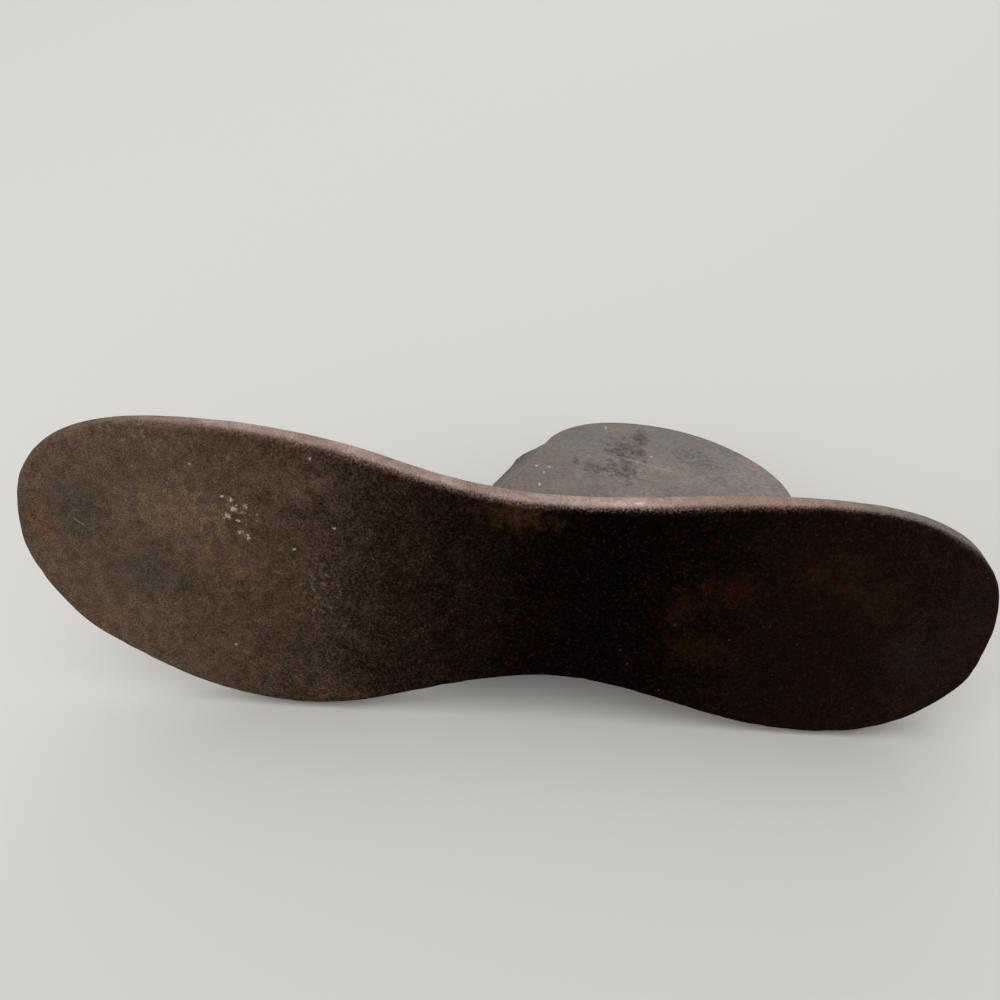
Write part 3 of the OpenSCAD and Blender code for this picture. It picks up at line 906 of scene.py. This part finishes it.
def worn_iron():
    """Smoother iron of the heel face: olive brown to mauve grey, painted shade on the shoulder slope below
    the face, rust on its steep sides, ragged blue-grey stains, fine grain and worn marks with a partly
    painted edge highlight along the breast."""
    material, tree, shader, place = new_finish("worn_iron")
    at = add(tree, "ShaderNodeSeparateXYZ", {0: place}).outputs
    cloudy = use(tree, "cloud", place, cell=8.0, low=0.35, high=0.65)
    colour = paint(tree, cloudy, srgb(73, 61, 52), srgb(95, 80, 68))
    colour = tint(tree, window(tree, at["X"], 34.0, 4.0), 0.7, colour, (67, 54, 40))
    colour = tint(tree, window(tree, at["X"], 40.0, 72.0), 0.6, colour, (96, 84, 79))
    colour = tint(tree, window(tree, at["Y"], 56.0, 78.0), 0.75, colour, (55, 47, 42))
    warm = use(tree, "cloud", place, cell=6.0, low=0.52, high=0.72, seed=3.0)
    colour = tint(tree, warm, 0.5, colour, (102, 79, 61))
    # painted shade: the shoulder slope below the heel face is made darker
    colour = paint(tree, window(tree, at["Z"], 5.2, 3.6), colour, srgb(66, 57, 49))

    stray = times(tree, use(tree, "cloud", place, cell=3.0, low=0.25, high=0.75, seed=15.0), 0.35)
    steep = times(tree, window(tree, sums(tree, "ADD", rise_of(tree), stray), 0.85, 0.4), 0.85)
    rust = paint(tree, warm, srgb(52, 39, 31), srgb(86, 58, 40))
    colour = paint(tree, steep, colour, rust)
    flecks = use(tree, "cloud", place, cell=1.5, low=0.42, high=0.58, seed=11.0)
    flecks = between(tree, flecks, 0.3, 1.0)
    stained = 0.0
    for centre, radii, strength in HEEL_STAINS:
        patch_mask = on_heel(tree, place, centre, radii, 8, ragged=1.5, cell=2.2, core=0.2)
        mask = times(tree, patch_mask, flecks, strength)
        colour = paint(tree, mask, colour, srgb(26, 28, 33))
        stained = sums(tree, "MAXIMUM", stained, mask)
    for centre, radii, rust_colour, strength in HEEL_RUST:
        rusty = on_heel(tree, place, centre, radii, 8, ragged=0.9, cell=4.0, core=0.1)
        colour = tint(tree, rusty, strength, colour, rust_colour)

    grit = use(tree, "cloud", place, cell=0.9, low=0.32, high=0.68, seed=5.0)
    colour = paint(tree, 1.0, colour, grey_of(tree, between(tree, grit, 0.5, 1.5)), "MULTIPLY")
    colour = worn_marks(tree, place, colour)

    tree.links.new(colour, shader.inputs["Base Color"])
    rough = between(tree, warm, 0.42, 0.55)
    rough = between(tree, stained, rough, 0.62)
    rough = between(tree, steep, rough, 0.8)
    tree.links.new(rough, shader.inputs["Roughness"])
    shader.inputs["Specular IOR Level"].default_value = 0.5
    shader.inputs["Specular Tint"].default_value = (1.0, 0.915, 0.85, 1.0)
    bump(tree, shader, use(tree, "grain", place, fine=0.3, pits=0.1), strength=0.32, distance=0.0002)
    return material


iron = rusted_iron()
worn = worn_iron()
make_sole(iron)
make_heel(worn)
make_leg(iron)
make_shoulder(worn)
make_fillet(iron)
make_foot(iron)


# Studio, in metres

FLOOR_REACH = 8.0
ANVIL_MIDDLE = (0, 0, 0.04)
FOREFOOT = (-0.08, -0.03, 0.04)
SENSOR = 36.0
FOCUS = 0.94
VIEW_FROM = (0.0079, -0.1787, 0.2124)
VIEW_TILT = math.radians(45)
VIEW_TURN = math.radians(3.613)


def make_floor():
    """Pale level floor, as far as its reach each way."""
    mesh = bpy.data.meshes.new("floor")
    side = np.array([-FLOOR_REACH, FLOOR_REACH])
    x, y = np.meshgrid(side, side)
    corners = np.stack([x, y, 0 * x], -1).reshape(-1, 3)
    mesh.from_pydata(corners, [], [(0, 1, 3, 2)])
    finish = bpy.data.materials.new("pale_floor")
    finish.use_nodes = True
    shader = finish.node_tree.nodes["Principled BSDF"]
    shader.inputs["Base Color"].default_value = srgb(208, 206, 202)
    shader.inputs["Roughness"].default_value = 0.9
    shader.inputs["Specular IOR Level"].default_value = 0.1
    mesh.materials.append(finish)
    floor = bpy.data.objects.new("floor", mesh)
    bpy.context.scene.collection.objects.link(floor)


def soft_light(name, place, aim, size, power):
    """Square area light at a place, turned to its aim."""
    lamp = bpy.data.lights.new(name, "AREA")
    lamp.size = size
    lamp.energy = power
    light = bpy.data.objects.new(name, lamp)
    light.location = place
    away = light.location - Vector(aim)
    light.rotation_euler = away.to_track_quat("Z", "Y").to_euler()
    bpy.context.scene.collection.objects.link(light)


def make_sky(light, backdrop):
    """White sky of one strength that lights the scene, seen by the camera itself as a plain backdrop of
    another."""
    world = bpy.data.worlds.new("studio")
    bpy.context.scene.world = world
    world.use_nodes = True
    tree = world.node_tree
    sky = tree.nodes["Background"]
    sky.inputs["Color"].default_value = (1.0, 1.0, 1.0, 1.0)
    sky.inputs["Strength"].default_value = light
    plain = add(tree, "ShaderNodeBackground", {"Color": (1.0, 0.99, 0.97, 1.0), "Strength": backdrop})
    seen = add(tree, "ShaderNodeLightPath").outputs["Is Camera Ray"]
    both = add(tree, "ShaderNodeMixShader", {0: seen, 1: sky.outputs[0], 2: plain.outputs[0]})
    tree.links.new(both.outputs[0], tree.nodes["World Output"].inputs["Surface"])


def make_camera():
    """Camera at the photo's viewpoint, with its focal length in picture widths."""
    camera = bpy.data.cameras.new("photo_view")
    camera.sensor_width = SENSOR
    camera.lens = SENSOR * FOCUS
    camera.clip_start = 0.01
    viewer = bpy.data.objects.new("photo_view", camera)
    viewer.location = VIEW_FROM
    viewer.rotation_euler = (VIEW_TILT, 0.0, VIEW_TURN)
    bpy.context.scene.collection.objects.link(viewer)
    bpy.context.scene.camera = viewer


make_floor()
soft_light("top_light", (-0.15, 0.2, 1.3), ANVIL_MIDDLE, size=1.2, power=7.5)
soft_light("left_light", (-0.55, -0.35, 0.45), FOREFOOT, size=0.4, power=0.8)
soft_light("back_light", (0.3, 1.3, 0.5), ANVIL_MIDDLE, size=0.8, power=3.0)
make_sky(light=0.65, backdrop=0.42)
make_camera()
bpy.context.scene.view_settings.view_transform = "Standard"
